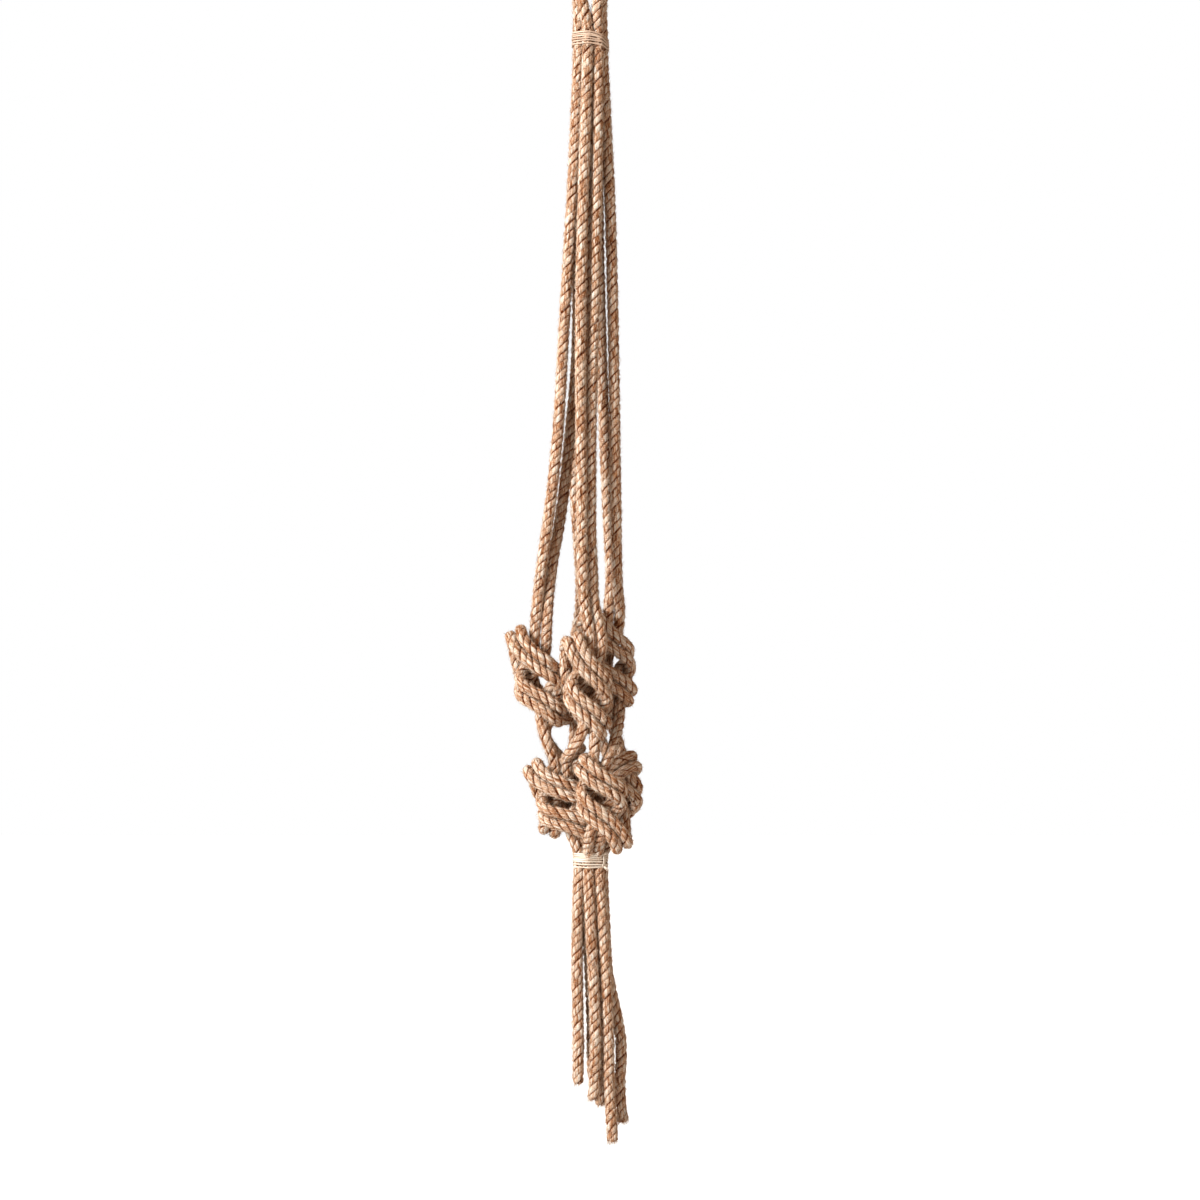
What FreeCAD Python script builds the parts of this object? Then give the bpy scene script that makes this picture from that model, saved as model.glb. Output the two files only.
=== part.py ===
"""A hanging rope planter: four jute ropes folded over a hook, knotted in pairs and bound with twine.

Millimetres. +Z is up, +X is to the right and +Y is away from the front. The origin is the inner top of the
hanging loop, where the hook touches it. Each rope is made in stretches that meet face to face.
"""
import FreeCAD, Part
import math
import os
from FreeCAD import Placement, Rotation, Vector

document = FreeCAD.newDocument("hanging_rope_planter")

# ---------------------------------------------------------------- driving dimensions
SIZES = {
    "rope_diameter": 10.0,
    "rope_spacing": 10.4,        # between the middles of two ropes that lie side by side
    "hook_clearance": 5.0,       # from the origin up to the middle of the ropes over the hook
    "twine_diameter": 1.8,
    "turn_spacing": 1.65,        # between the turns of a binding
    "twine_end": 9.0,            # length of the short ends left at a binding's knot
    "twine_knot_diameter": 4.6,
    "top_binding_top": -73.0,
    "top_binding_turns": 9,
    "bottom_binding_top": -794.0,
    "bottom_binding_turns": 9,
    "ropes_part": -810.0,        # the level under the bottom binding where the tails hang free
    "tail_clearance": 2.2,       # between a tail's upper end and the rope above it
}
sheet = document.addObject("Spreadsheet::Sheet", "Sizes")
for row, (alias, value) in enumerate(SIZES.items(), start=1):
    sheet.set(f"A{row}", alias)
    sheet.set(f"B{row}", str(value))
    sheet.setAlias(f"B{row}", alias)
document.recompute()


def size(alias):
    return float(sheet.get(alias))


# ---------------------------------------------------------------- the double overhand knot
# In rope diameters about the knot's middle, with its front towards -Y. Each row is a point midway between
# the two ropes, then the direction that the flat side of the pair faces there.
KNOT = [
    (0.4, 0.1, 3.7, 0.0, 1.0, 0.0),
    (0.3, 0.2, 2.3, 0.0, 1.0, 0.0),
    (-0.1, 0.4, 1.1, -0.3, 1.0, 0.0),
    (-1.2, 0.5, 0.3, -0.7, 1.0, 0.2),
    (-1.9, -0.1, -0.3, -1.0, 0.0, 0.1),
    (-1.6, -0.9, -1.0, -0.8, -0.8, 0.0),
    (-0.7, -1.2, -1.5, -0.2, -1.0, 0.0),
    (0.6, -1.2, -2.1, 0.2, -1.0, 0.0),
    (1.6, -0.9, -2.8, 0.7, -1.0, -0.1),
    (2.0, 0.1, -3.2, 1.0, 0.0, -0.3),
    (1.5, 1.0, -3.1, 0.7, 0.9, -0.4),
    (0.4, 1.3, -2.5, 0.0, 1.0, -0.2),
    (-0.9, 1.4, -1.4, 0.0, 1.0, 0.0),
    (-1.6, 1.4, 0.3, 0.0, 1.0, 0.0),
    (-1.9, 1.4, 1.6, -0.2, 1.0, 0.0),
    (-2.0, 1.3, 2.6, -0.3, 0.9, 0.3),
    (-2.1, 0.7, 3.3, -0.5, 0.5, 0.8),
    (-2.0, -0.3, 3.5, -0.5, -0.3, 0.9),
    (-1.7, -1.0, 2.8, -0.3, -0.9, 0.4),
    (-0.8, -1.2, 1.8, -0.2, -1.0, 0.0),
    (0.6, -1.1, 0.9, 0.2, -1.0, 0.0),
    (1.7, -0.6, 0.2, 1.0, -0.6, 0.0),
    (1.8, 0.3, -0.6, 1.0, 0.6, 0.0),
    (1.0, 0.5, -1.6, 0.2, 1.0, 0.0),
    (0.4, 0.1, -3.0, 0.0, 1.0, 0.0),
]

# Each knot's middle, its turn about Z and its lean to the left in degrees, its width and height in
# millimetres to a rope diameter of the list above, and whether it is tied upside down.
KNOTS = {
    "upper_left": (Vector(-45, -5, -639), -8, 3, 9.2, 11.4, False),
    "upper_front": (Vector(-1, -28, -647), 4, -5, 8.8, 11.6, False),
    "upper_right": (Vector(18, 7, -622), 10, 0, 9.4, 11.2, False),
    "upper_back": (Vector(-6, 40, -643), 172, 2, 9.4, 10.0, False),
    "lower_left": (Vector(-24, -7, -747), -10, 11, 10.4, 9.6, False),
    "lower_right": (Vector(10, -34, -749), 8, -2, 9.6, 10.6, True),
    "lower_back_right": (Vector(24, 17, -747), 165, -6, 10.0, 9.8, True),
    "lower_back_left": (Vector(-21, 38, -742), 192, -6, 9.6, 10.0, True),
}


def knot_points(name, side):
    """The route of one rope of the pair through a knot. Side is -1 or 1.

    A knot tied upside down is followed the other way, and leaves out the list's first point, which would
    reach down into the binding.
    """
    middle, turn, lean, width, height, upside_down = KNOTS[name]
    if upside_down:
        lean += 180
    placed = Placement(middle, Rotation(turn, -lean, 0))
    depth = size("rope_diameter")
    points = []
    for i, (x, y, z, *faces) in enumerate(KNOT):
        before = Vector(*KNOT[max(i - 1, 0)][:3])
        after = Vector(*KNOT[min(i + 1, len(KNOT) - 1)][:3])
        across = (after - before).cross(Vector(*faces)).normalize()
        offset = across * (side * size("rope_spacing") / 2)
        points.append(placed.multVec(Vector(x * width, y * depth, z * height) + offset))
    return points[:0:-1] if upside_down else points


# ---------------------------------------------------------------- the eight cords
# Each rope hangs folded over the hook as two cords. For each cord: the side of the loop that it comes down,
# its place along the hook, and its places in the two bundles. Place 7 is the middle of a bundle and places
# 0 to 6 go round it, anticlockwise from the front.
CORDS = {
    "front_1": {"side": -1, "on_hook": -15, "top_place": 0, "bottom_place": 7},
    "front_2": {"side": 1, "on_hook": -15, "top_place": 1, "bottom_place": 0},
    "left_1": {"side": -1, "on_hook": -5, "top_place": 6, "bottom_place": 6},
    "right_1": {"side": 1, "on_hook": -5, "top_place": 2, "bottom_place": 1},
    "left_2": {"side": -1, "on_hook": 5, "top_place": 5, "bottom_place": 5},
    "back_2": {"side": 1, "on_hook": 5, "top_place": 7, "bottom_place": 3},
    "back_1": {"side": -1, "on_hook": 15, "top_place": 4, "bottom_place": 4},
    "right_2": {"side": 1, "on_hook": 15, "top_place": 3, "bottom_place": 2},
}
ROPES = {
    "front_rope": ("front_1", "front_2"),
    "side_rope": ("left_1", "right_1"),
    "left_rope": ("left_2", "back_2"),
    "back_rope": ("back_1", "right_2"),
}
FIRST_PLACE_ANGLE = -100.0
OUTER_PLACES = 7
MIDDLE_PLACE = 7


def bundle_place(place):
    """The middle of one rope of a bundle of eight, seen from above."""
    if place == MIDDLE_PLACE:
        return Vector(0, 0, 0)
    angle = math.radians(FIRST_PLACE_ANGLE + place * 360 / OUTER_PLACES)
    ring = size("rope_spacing") / 2 / math.sin(math.pi / OUTER_PLACES)
    return Vector(ring * math.cos(angle), ring * math.sin(angle), 0)


# From the hook to the top binding, for the right-hand side, by the rope's distance along the hook from
# its middle: x, share of the place along the hook, z.
HALF_LOOP = {
    5: [(14, 1.0, -1.5), (16.5, 0.95, -15), (13, 0.95, -32), (9.6, 0.95, -50)],
    15: [(14, 1.0, -1.5), (16.5, 0.95, -15), (12, 0.95, -32), (5.6, 0.85, -50)],
}

# From the top binding to the upper knots.
LEGS = {
    "front_1": [(-6.2, -13, -220), (-8.5, -16, -330), (-8.5, -19, -430), (-8, -22.5, -510), (-6.5, -27, -570)],
    "front_2": [(6.2, -9, -220), (3.5, -10, -330), (0.8, -12.5, -420), (0.6, -16, -510), (1.8, -20.5, -570)],
    "left_1": [(-16, -6, -225), (-23.5, -6, -343), (-27, -6, -415), (-34, -6, -484), (-43, -6, -545)],
    "left_2": [(-13.5, 5, -225), (-16.5, 5.5, -343), (-19, 5.5, -440), (-25, 4.5, -495), (-35.5, 2, -552)],
    "right_1": [(16.5, 1, -220), (20.5, 2, -330), (22, 3, -430), (23, 3.5, -500), (23.5, 4, -555)],
    "right_2": [(7.5, 9.5, -220), (11, 9.5, -330), (13.5, 11, -430), (16, 12.5, -500), (19, 13.5, -552)],
    "back_1": [(-6, 15, -220), (-12.5, 20, -330), (-16, 25, -440), (-11, 30, -510), (-7, 34, -575)],
    "back_2": [(0, 9, -220), (-1.5, 17.5, -330), (-4, 25, -440), (0, 33, -510), (4, 37, -575)],
}

# The knots that each cord goes through, and which rope of the pair it is in each.
UPPER_KNOTS = {
    "front_1": ("upper_front", -1), "front_2": ("upper_front", 1),
    "left_1": ("upper_left", -1), "left_2": ("upper_left", 1),
    "right_1": ("upper_right", 1), "right_2": ("upper_right", -1),
    "back_1": ("upper_back", 1), "back_2": ("upper_back", -1),
}
LOWER_KNOTS = {
    "front_1": ("lower_left", 1), "left_1": ("lower_left", -1),
    "front_2": ("lower_right", 1), "right_1": ("lower_right", -1),
    "right_2": ("lower_back_right", 1), "back_2": ("lower_back_right", -1),
    "left_2": ("lower_back_left", -1), "back_1": ("lower_back_left", 1),
}

# Between the upper and the lower knots.
LINKS = {
    "front_1": [(-7, -28, -689), (-16, -22, -704)],
    "front_2": [(4.5, -27, -700)],
    "left_1": [(-40, -9, -691)],
    "left_2": [(-41, 3, -690), (-34, 22, -704)],
    "right_1": [(26, 3, -678), (21, -17, -700)],
    "right_2": [(17, 9, -676), (25, 16, -697)],
    "back_1": [(-13, 39, -688)],
    "back_2": [(0, 34, -684), (11, 24, -698)],
}

# Below the bottom binding, from the level where the ropes part to each tail's end.
TAILS = {
    "front_1": [(1, 0, -860), (3.5, 0.3, -920), (5.5, 0.5, -960), (5, 0.5, -1001)],
    "front_2": [(0.5, -13, -860), (4, -14.5, -920), (5, -14.5, -965), (3, -14, -1010)],
    "left_1": [(-11.4, -7, -855), (-11.6, -7.5, -905), (-10, -7.5, -950), (-10.6, -7.5, -997)],
    "left_2": [(-11, 4.5, -855), (-8.5, 6, -910), (-6.5, 6, -972)],
    "right_1": [(10.8, -11, -850), (14, -12, -900), (16.5, -12, -955), (16.5, -11.5, -1000), (20, -11, -1047)],
    "right_2": [
        (13, 0.8, -858), (15, 1.2, -903), (24, 1.5, -938),
        (28.5, 1.2, -968), (25, 1, -1003), (29, 0.5, -1032),
    ],
    "back_1": [(-3.2, 13, -860), (-1, 15.5, -925), (-1.5, 16, -992)],
    "back_2": [(8.5, 11, -860), (11.5, 12.5, -925), (10.5, 12.5, -970), (9, 12, -1019)],
}


def half_loop(cord):
    facts = CORDS[cord]
    over_hook = (5.5, 1.0, size("hook_clearance"))
    rows = [over_hook] + HALF_LOOP[abs(facts["on_hook"])]
    points = [Vector(facts["side"] * x, facts["on_hook"] * share, z) for x, share, z in rows]
    binding_middle = size("top_binding_top") - size("turn_spacing") * size("top_binding_turns") / 2
    above = Vector(0, 0, binding_middle + 9)
    return points + [bundle_place(facts["top_place"]) + above]


def leg(cord):
    binding_middle = size("top_binding_top") - size("turn_spacing") * size("top_binding_turns") / 2
    below = Vector(0, 0, binding_middle - 14)
    return [bundle_place(CORDS[cord]["top_place"]) + below] + [Vector(*p) for p in LEGS[cord]]


def gather(cord):
    """From the lower knot down through the bottom binding to the level where the ropes part."""
    middle = bundle_place(CORDS[cord]["bottom_place"])
    above = Vector(middle.x * 1.04, middle.y * 1.04, size("bottom_binding_top") + 4)
    return [above, middle + Vector(0, 0, size("ropes_part"))]


def tail(cord):
    top = bundle_place(CORDS[cord]["bottom_place"])
    top.z = size("ropes_part") - size("tail_clearance")
    return [top] + [Vector(*p) for p in TAILS[cord]]


def cord_stretches(cord):
    """The stretches of a cord under its loop, top to bottom: name and points of each."""
    return [
        (f"{cord}_leg", leg(cord)),
        (f"{cord}_upper_knot", knot_points(*UPPER_KNOTS[cord])),
        (f"{cord}_link", [Vector(*p) for p in LINKS[cord]]),
        (f"{cord}_lower_knot", knot_points(*LOWER_KNOTS[cord])),
        (f"{cord}_gather", gather(cord)),
    ]


def rope_stretches(rope):
    """All stretches of a rope, from one lower end over the hook to the other."""
    first, second = ROPES[rope]
    up = [(name, points[::-1]) for name, points in cord_stretches(first)[::-1]]
    loop = (f"{rope}_loop", half_loop(first)[::-1] + half_loop(second))
    return up + [loop] + cord_stretches(second)


# ---------------------------------------------------------------- tubes: straight runs joined by tangent arcs
ARC_SHARE = 0.45   # of the shorter run, from a corner to where its arc starts
radii = []


def corner(before, point, after):
    """The start, middle and end of the arc that rounds a corner of a route."""
    back, ahead = before - point, after - point
    reach = ARC_SHARE * min(back.Length, ahead.Length)
    back.normalize()
    ahead.normalize()
    half_turn = (math.pi - back.getAngle(ahead)) / 2
    radius = reach / math.tan(half_turn)
    radii.append(radius)
    bisector = (back + ahead).normalize()
    middle = point + bisector * (radius / math.cos(half_turn) - radius)
    return point + back * reach, middle, point + ahead * reach


def tube_wire(route, first, last):
    """The path of one stretch, from the middle of the run before it to the middle of the run after it."""
    here = (route[first - 1] + route[first]) / 2 if first > 0 else route[0]
    stop = (route[last] + route[last + 1]) / 2 if last < len(route) - 1 else route[-1]
    edges = []
    for i in range(max(first, 1), min(last, len(route) - 2) + 1):
        start, middle, end = corner(*route[i - 1:i + 2])
        edges.append(Part.LineSegment(here, start).toShape())
        edges.append(Part.Arc(start, middle, end).toShape())
        here = end
    edges.append(Part.LineSegment(here, stop).toShape())
    return Part.Wire(edges)


def rope_tube(name, route, first, last):
    """A round tube along one stretch of a route, its section bound to the rope's diameter."""
    spine = document.addObject("Part::Feature", f"{name}_path")
    spine.Shape = tube_wire(route, first, last)
    start = spine.Shape.Edges[0]
    section = document.addObject("Part::Circle", f"{name}_section")
    section.setExpression("Radius", "Sizes.rope_diameter / 2")
    along = start.tangentAt(start.FirstParameter)
    section.Placement = Placement(start.valueAt(start.FirstParameter), Rotation(Vector(0, 0, 1), along))
    tube = document.addObject("Part::Sweep", name)
    tube.Sections = [section]
    tube.Spine = (spine, [f"Edge{i + 1}" for i in range(len(spine.Shape.Edges))])
    tube.Solid = True
    tube.Frenet = False
    tube.Label = name
    return tube


def rope_tubes(stretches):
    """The tubes of a whole rope, which meet face to face."""
    route = [point for _, points in stretches for point in points]
    tubes = []
    first = 0
    for name, points in stretches:
        last = first + len(points) - 1
        tubes.append(rope_tube(name, route, first, last))
        first = last + 1
    return tubes


# ---------------------------------------------------------------- twine bindings
def binding(name, top, turns, knot_angle):
    """Turns of twine round the bundle, with a knot and two short ends."""
    half_bundle = "Sizes.rope_spacing / 2 / sin(180 deg / 7) + Sizes.rope_diameter / 2"
    ring = f"({half_bundle} + Sizes.twine_diameter / 2)"
    pieces = []
    for i in range(int(size(turns))):
        torus = document.addObject("Part::Torus", f"{name}_turn_{i + 1}")
        torus.setExpression("Radius1", ring)
        torus.setExpression("Radius2", "Sizes.twine_diameter / 2")
        torus.setExpression(".Placement.Base.z", f"Sizes.{top} - ({i} + 0.5) * Sizes.turn_spacing")
        pieces.append(torus)
    knot = document.addObject("Part::Sphere", f"{name}_knot")
    knot.setExpression("Radius", "Sizes.twine_knot_diameter / 2")
    level = f"Sizes.{top} - Sizes.turn_spacing * Sizes.{turns} / 2"
    outward = f"({ring} + Sizes.twine_diameter / 2)"
    knot.setExpression(".Placement.Base.x", f"{outward} * cos({knot_angle} deg)")
    knot.setExpression(".Placement.Base.y", f"{outward} * sin({knot_angle} deg)")
    knot.setExpression(".Placement.Base.z", level)
    pieces.append(knot)
    for number, tilt in enumerate((35, 140), start=1):
        end = document.addObject("Part::Cylinder", f"{name}_end_{number}")
        end.setExpression("Radius", "Sizes.twine_diameter / 2")
        end.setExpression("Height", "Sizes.twine_end")
        end.Placement.Rotation = Rotation(knot_angle, tilt, 0)
        for axis in "xyz":
            end.setExpression(f".Placement.Base.{axis}", f"{knot.Name}.Placement.Base.{axis}")
        pieces.append(end)
    whole = document.addObject("Part::MultiFuse", name)
    whole.Shapes = pieces
    whole.Label = name
    return whole


# ---------------------------------------------------------------- the whole planter
nodes = []
for rope in ROPES:
    nodes += rope_tubes(rope_stretches(rope))
for cord in CORDS:
    nodes += rope_tubes([(f"{cord}_tail", tail(cord))])
nodes.append(binding("top_binding", "top_binding_top", "top_binding_turns", 100))
nodes.append(binding("bottom_binding", "bottom_binding_top", "bottom_binding_turns", -35))
document.recompute()

for item in document.Objects:
    if "Invalid" in item.State or "Error" in item.State:
        raise RuntimeError(f"{item.Name} failed: {item.State}")
section_area = math.pi * (size("rope_diameter") / 2) ** 2
for node in nodes:
    if node.Shape.isNull() or not node.Shape.isValid():
        raise RuntimeError(f"{node.Label} has no valid shape")
    if node.TypeId == "Part::Sweep":
        expected = section_area * node.Spine[0].Shape.Length
        if abs(node.Shape.Volume / expected - 1) > 0.01:
            raise RuntimeError(f"{node.Label} holds {node.Shape.Volume:.0f} and should hold {expected:.0f}")

print(f"{len(radii)} bends, radii from {min(radii):.1f} to {max(radii):.0f} mm")
print("tightest:", ", ".join(f"{r:.1f}" for r in sorted(radii)[:12]))
for rope in ROPES:
    parts = [n for n in nodes if n.Label in {name for name, _ in rope_stretches(rope)}]
    print(f"{rope}: {sum(n.Spine[0].Shape.Length for n in parts):.0f} mm between its lower ends")
for cord in CORDS:
    tube = document.getObject(f"{cord}_tail")
    print(f"{cord} tail: {tube.Spine[0].Shape.Length:.0f} mm")

os.makedirs("parts", exist_ok=True)
for node in nodes:
    node.Shape.exportStep(os.path.join("parts", f"{node.Label}.step"))
print(f"{len(nodes)} nodes written")
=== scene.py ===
"""Looks for the hanging rope planter: twisted jute ropes, raffia bindings, a pale studio.

Metres. +Z is up, +X is to the right and +Y is away from the camera. The origin is the inner top of the
hanging loop. Every rope follows a smooth spline, and three twisted strands are wound along it.
"""
import bpy
import math
import numpy as np
from mathutils import Matrix, Vector


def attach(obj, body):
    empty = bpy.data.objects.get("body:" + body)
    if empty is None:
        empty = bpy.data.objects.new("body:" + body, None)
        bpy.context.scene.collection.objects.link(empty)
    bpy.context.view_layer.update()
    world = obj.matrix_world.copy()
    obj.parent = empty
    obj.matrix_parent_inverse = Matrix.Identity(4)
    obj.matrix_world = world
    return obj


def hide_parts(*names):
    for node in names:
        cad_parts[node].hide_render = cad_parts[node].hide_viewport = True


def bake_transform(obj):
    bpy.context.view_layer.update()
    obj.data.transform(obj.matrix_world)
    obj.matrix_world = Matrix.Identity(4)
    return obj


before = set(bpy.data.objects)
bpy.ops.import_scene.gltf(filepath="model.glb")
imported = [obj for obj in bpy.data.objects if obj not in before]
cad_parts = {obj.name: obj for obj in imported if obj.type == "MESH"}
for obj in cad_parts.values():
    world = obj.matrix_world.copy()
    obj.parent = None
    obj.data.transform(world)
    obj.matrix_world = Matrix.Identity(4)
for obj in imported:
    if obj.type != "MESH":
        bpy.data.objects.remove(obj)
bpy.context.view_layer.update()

MM = 0.001
ROPE_DIAMETER = 10 * MM
ROPE_SPACING = 10.4 * MM      # between the middles of two ropes that lie side by side
TOP_BINDING_MIDDLE = -80.425 * MM
BOTTOM_BINDING_TOP = -794 * MM
ROPES_END = -803 * MM         # inside the bottom binding, out of sight
TAILS_START = -799 * MM
HOOK_CLEARANCE = 5 * MM
ABOVE_TOP_BINDING = 9 * MM    # where the legs enter the top binding, from its middle
BELOW_TOP_BINDING = 14 * MM   # and where they leave it


# ---------------------------------------------------------------- camera
VIEW_WIDTH = 1.056            # of the frame, at the planter
VIEW_MIDDLE = Vector((0.0088, 0, -0.572))
CAMERA_DISTANCE = 2.6
SENSOR_WIDTH = 36             # millimetres, as the lens is
camera_data = bpy.data.cameras.new("camera")
camera_data.sensor_width = SENSOR_WIDTH
camera_data.lens = SENSOR_WIDTH * CAMERA_DISTANCE / VIEW_WIDTH
camera = bpy.data.objects.new("camera", camera_data)
camera.location = VIEW_MIDDLE + Vector((0, -CAMERA_DISTANCE, 0))
camera.rotation_euler = (math.pi / 2, 0, 0)
bpy.context.collection.objects.link(camera)
bpy.context.scene.camera = camera


# ---------------------------------------------------------------- routes
# These are the CAD model's points, except that a few of the legs' and tails' are up to 7 mm from there.

# The double overhand knot, in rope diameters about its middle, with its front towards -Y. Each row is a
# point midway between the two ropes, then the direction that the flat side of the pair faces there.
KNOT = [
    (0.4, 0.1, 3.7, 0.0, 1.0, 0.0),
    (0.3, 0.2, 2.3, 0.0, 1.0, 0.0),
    (-0.1, 0.4, 1.1, -0.3, 1.0, 0.0),
    (-1.2, 0.5, 0.3, -0.7, 1.0, 0.2),
    (-1.9, -0.1, -0.3, -1.0, 0.0, 0.1),
    (-1.6, -0.9, -1.0, -0.8, -0.8, 0.0),
    (-0.7, -1.2, -1.5, -0.2, -1.0, 0.0),
    (0.6, -1.2, -2.1, 0.2, -1.0, 0.0),
    (1.6, -0.9, -2.8, 0.7, -1.0, -0.1),
    (2.0, 0.1, -3.2, 1.0, 0.0, -0.3),
    (1.5, 1.0, -3.1, 0.7, 0.9, -0.4),
    (0.4, 1.3, -2.5, 0.0, 1.0, -0.2),
    (-0.9, 1.4, -1.4, 0.0, 1.0, 0.0),
    (-1.6, 1.4, 0.3, 0.0, 1.0, 0.0),
    (-1.9, 1.4, 1.6, -0.2, 1.0, 0.0),
    (-2.0, 1.3, 2.6, -0.3, 0.9, 0.3),
    (-2.1, 0.7, 3.3, -0.5, 0.5, 0.8),
    (-2.0, -0.3, 3.5, -0.5, -0.3, 0.9),
    (-1.7, -1.0, 2.8, -0.3, -0.9, 0.4),
    (-0.8, -1.2, 1.8, -0.2, -1.0, 0.0),
    (0.6, -1.1, 0.9, 0.2, -1.0, 0.0),
    (1.7, -0.6, 0.2, 1.0, -0.6, 0.0),
    (1.8, 0.3, -0.6, 1.0, 0.6, 0.0),
    (1.0, 0.5, -1.6, 0.2, 1.0, 0.0),
    (0.4, 0.1, -3.0, 0.0, 1.0, 0.0),
]
KNOT_DEPTH = 10               # millimetres to a rope diameter of the list, from front to back

# Each knot's middle, its turn about Z and its lean to the left in degrees, its width and height in
# millimetres to a rope diameter of the list above, and whether it is tied upside down.
KNOTS = {
    "upper_left": ((-45, -5, -639), -8, 3, 9.2, 11.4, False),
    "upper_front": ((-1, -28, -647), 4, -5, 8.8, 11.6, False),
    "upper_right": ((18, 7, -622), 10, 0, 9.4, 11.2, False),
    "upper_back": ((-6, 40, -643), 172, 2, 9.4, 10.0, False),
    "lower_left": ((-24, -7, -747), -10, 11, 10.4, 9.6, False),
    "lower_right": ((10, -34, -749), 8, -2, 9.6, 10.6, True),
    "lower_back_right": ((24, 17, -747), 165, -6, 10.0, 9.8, True),
    "lower_back_left": ((-21, 38, -742), 192, -6, 9.6, 10.0, True),
}

# For each cord: the side of the loop that it comes down, its place along the hook in millimetres, and its
# places in the two bundles. Place 7 is the middle of a bundle and places 0 to 6 go round it.
CORDS = {
    "front_1": {"side": -1, "on_hook": -15, "top_place": 0, "bottom_place": 7},
    "front_2": {"side": 1, "on_hook": -15, "top_place": 1, "bottom_place": 0},
    "left_1": {"side": -1, "on_hook": -5, "top_place": 6, "bottom_place": 6},
    "right_1": {"side": 1, "on_hook": -5, "top_place": 2, "bottom_place": 1},
    "left_2": {"side": -1, "on_hook": 5, "top_place": 5, "bottom_place": 5},
    "back_2": {"side": 1, "on_hook": 5, "top_place": 7, "bottom_place": 3},
    "back_1": {"side": -1, "on_hook": 15, "top_place": 4, "bottom_place": 4},
    "right_2": {"side": 1, "on_hook": 15, "top_place": 3, "bottom_place": 2},
}
# The two cords of each rope, and the rope's length between its lower ends in metres.
ROPES = {
    "front_rope": ("front_1", "front_2", 2.625),
    "side_rope": ("left_1", "right_1", 2.60),
    "left_rope": ("left_2", "back_2", 2.605),
    "back_rope": ("back_1", "right_2", 2.605),
}
FIRST_PLACE_ANGLE = -100.0
OUTER_PLACES = 7
MIDDLE_PLACE = 7
TOP_SQUEEZE = 0.92            # how far the twine presses the eight ropes together
BOTTOM_SQUEEZE = 0.86
GATHER_HEIGHT = 4 * MM        # above the bottom binding, where the ropes come together
GATHER_SPREAD = 1.04          # how much wider the bundle is there than inside the binding

# From the hook to the top binding, for the right-hand side, by the rope's distance along the hook from
# its middle: x, share of the place along the hook, z.
HALF_LOOP = {
    5: [(14, 1.0, -1.5), (16.5, 0.95, -15), (13, 0.95, -32), (9.6, 0.95, -50)],
    15: [(14, 1.0, -1.5), (16.5, 0.95, -15), (12, 0.95, -32), (5.6, 0.85, -50)],
}

# From the top binding to the upper knots, in millimetres, as the next two lists are.
LEGS = {
    "front_1": [
        (-6.2, -13, -220), (-8.5, -16, -330), (-7.8, -19, -430),
        (-7, -22.5, -510), (-6.5, -27, -570),
    ],
    "front_2": [(6.2, -9, -220), (3.5, -10, -330), (0.8, -12.5, -420), (0.6, -16, -510), (1.8, -20.5, -570)],
    "left_1": [(-16, -6, -225), (-23.5, -6, -343), (-27, -6, -415), (-34, -6, -484), (-43, -6, -545)],
    "left_2": [(-13.5, 5, -225), (-9.5, 5.5, -343), (-19, 5.5, -440), (-25, 4.5, -495), (-35.5, 2, -552)],
    "right_1": [(17.9, 1, -220), (20.5, 2, -330), (22, 3, -430), (23, 3.5, -500), (23.5, 4, -555)],
    "right_2": [(6.8, 9.5, -220), (9.3, 9.5, -330), (12.8, 11, -430), (16, 12.5, -500), (19, 13.5, -552)],
    "back_1": [(-6, 15, -220), (-9.5, 20.5, -330), (-16, 25, -440), (-11, 30, -510), (-7, 34, -575)],
    "back_2": [(0, 9, -220), (0.5, 17.5, -330), (-4, 25, -440), (0, 33, -510), (4, 37, -575)],
}

# The knots that each cord goes through, and which rope of the pair it is in each.
UPPER_KNOTS = {
    "front_1": ("upper_front", -1), "front_2": ("upper_front", 1),
    "left_1": ("upper_left", -1), "left_2": ("upper_left", 1),
    "right_1": ("upper_right", 1), "right_2": ("upper_right", -1),
    "back_1": ("upper_back", 1), "back_2": ("upper_back", -1),
}
LOWER_KNOTS = {
    "front_1": ("lower_left", 1), "left_1": ("lower_left", -1),
    "front_2": ("lower_right", 1), "right_1": ("lower_right", -1),
    "right_2": ("lower_back_right", 1), "back_2": ("lower_back_right", -1),
    "left_2": ("lower_back_left", -1), "back_1": ("lower_back_left", 1),
}

# Between the upper and the lower knots.
LINKS = {
    "front_1": [(-7, -28, -689), (-16, -22, -704)],
    "front_2": [(4.5, -27, -700)],
    "left_1": [(-40, -9, -691)],
    "left_2": [(-41, 3, -690), (-34, 22, -704)],
    "right_1": [(26, 3, -678), (21, -17, -700)],
    "right_2": [(17, 9, -676), (25, 16, -697)],
    "back_1": [(-13, 39, -688)],
    "back_2": [(0, 34, -684), (11, 24, -698)],
}

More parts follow.
